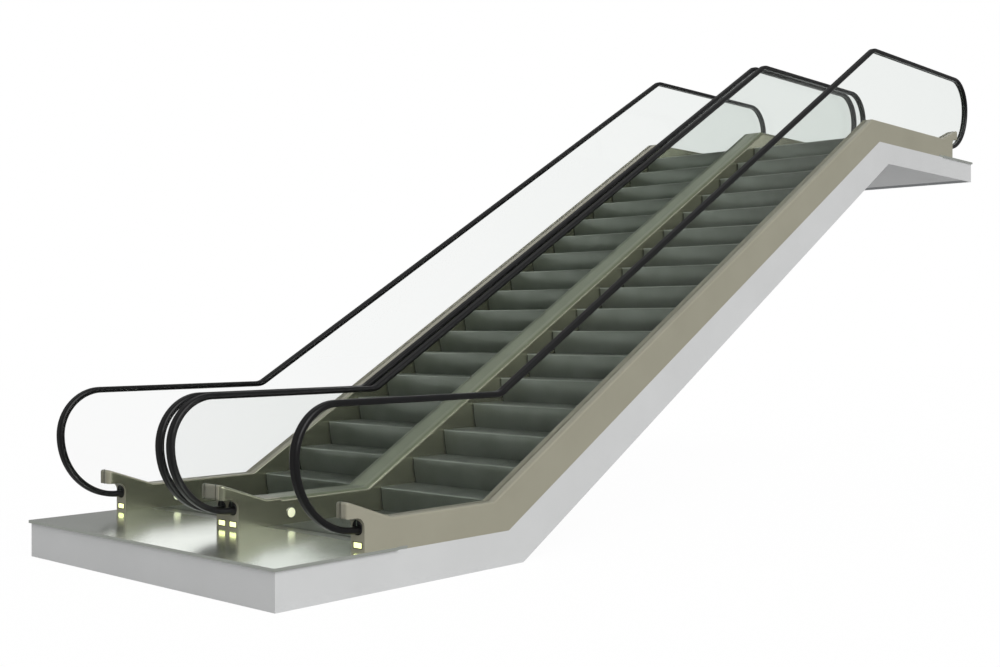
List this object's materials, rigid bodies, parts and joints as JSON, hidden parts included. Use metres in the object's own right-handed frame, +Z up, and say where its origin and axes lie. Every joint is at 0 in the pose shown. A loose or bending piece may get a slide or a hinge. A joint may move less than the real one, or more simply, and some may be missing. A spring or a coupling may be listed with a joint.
{
  "type": "escalator",
  "caption": "Side-by-side escalator between two floors, with glass balustrades, looped handrails, level landings and a closed truss in plain cladding.",
  "frame": {"origin": "on the underside of the lower landing, on the middle line between the two flights", "axes": "+X to the right seen from the lower landing, +Y up the run towards the upper landing, +Z up"},
  "size_m": [3.312, 12.002, 5.323],
  "materials": {
    "casing": "satin white paint",
    "truss": "satin grey paint",
    "panel": "satin grey beige paint",
    "newel": "satin grey beige paint",
    "deck": "satin",
    "skirt": "satin",
    "plate": "brushed",
    "comb": "ribbed",
    "step": "dark, ribbed",
    "glass": "clear with a green cast",
    "rail": "black, smooth",
    "inlet": "black, matt",
    "lamp": "opal, lit"
  },
  "bodies": {
    "root": {"truss_lower": "truss", "truss_incline": "truss", "truss_upper": "truss", "cladding_left": "casing", "cladding_right": "casing", "cladding_front": "casing", "cladding_rear": "casing", "soffit_incline": "casing", "soffit_upper": "casing", "floor_plate_lower": "plate", "floor_plate_upper": "plate", "comb_plates_lower": "comb", "comb_plates_upper": "comb", "steps_left": "step", "steps_right": "step", "skirt_left_outer": "skirt", "skirt_left_inner": "skirt", "skirt_right_inner": "skirt", "skirt_right_outer": "skirt", "deck_left": "deck", "deck_centre": "deck", "deck_right": "deck", "base_panel_left": "panel", "base_panel_right": "panel", "newel_base_lower_left": "newel", "newel_base_lower_centre": "newel", "newel_base_lower_right": "newel", "newel_base_upper_left": "newel", "newel_base_upper_centre": "newel", "newel_base_upper_right": "newel", "glass_left_outer": "glass", "glass_left_inner": "glass", "glass_right_inner": "glass", "glass_right_outer": "glass", "handrail_left_outer": "rail", "handrail_left_inner": "rail", "handrail_right_inner": "rail", "handrail_right_outer": "rail", "handrail_inlets_lower": "inlet", "handrail_inlets_upper": "inlet", "newel_lamps_lower": "lamp", "newel_lamps_upper": "lamp", "skirt_lamps_lower": "lamp", "skirt_lamps_upper": "lamp"}
  },
  "joints": []
}
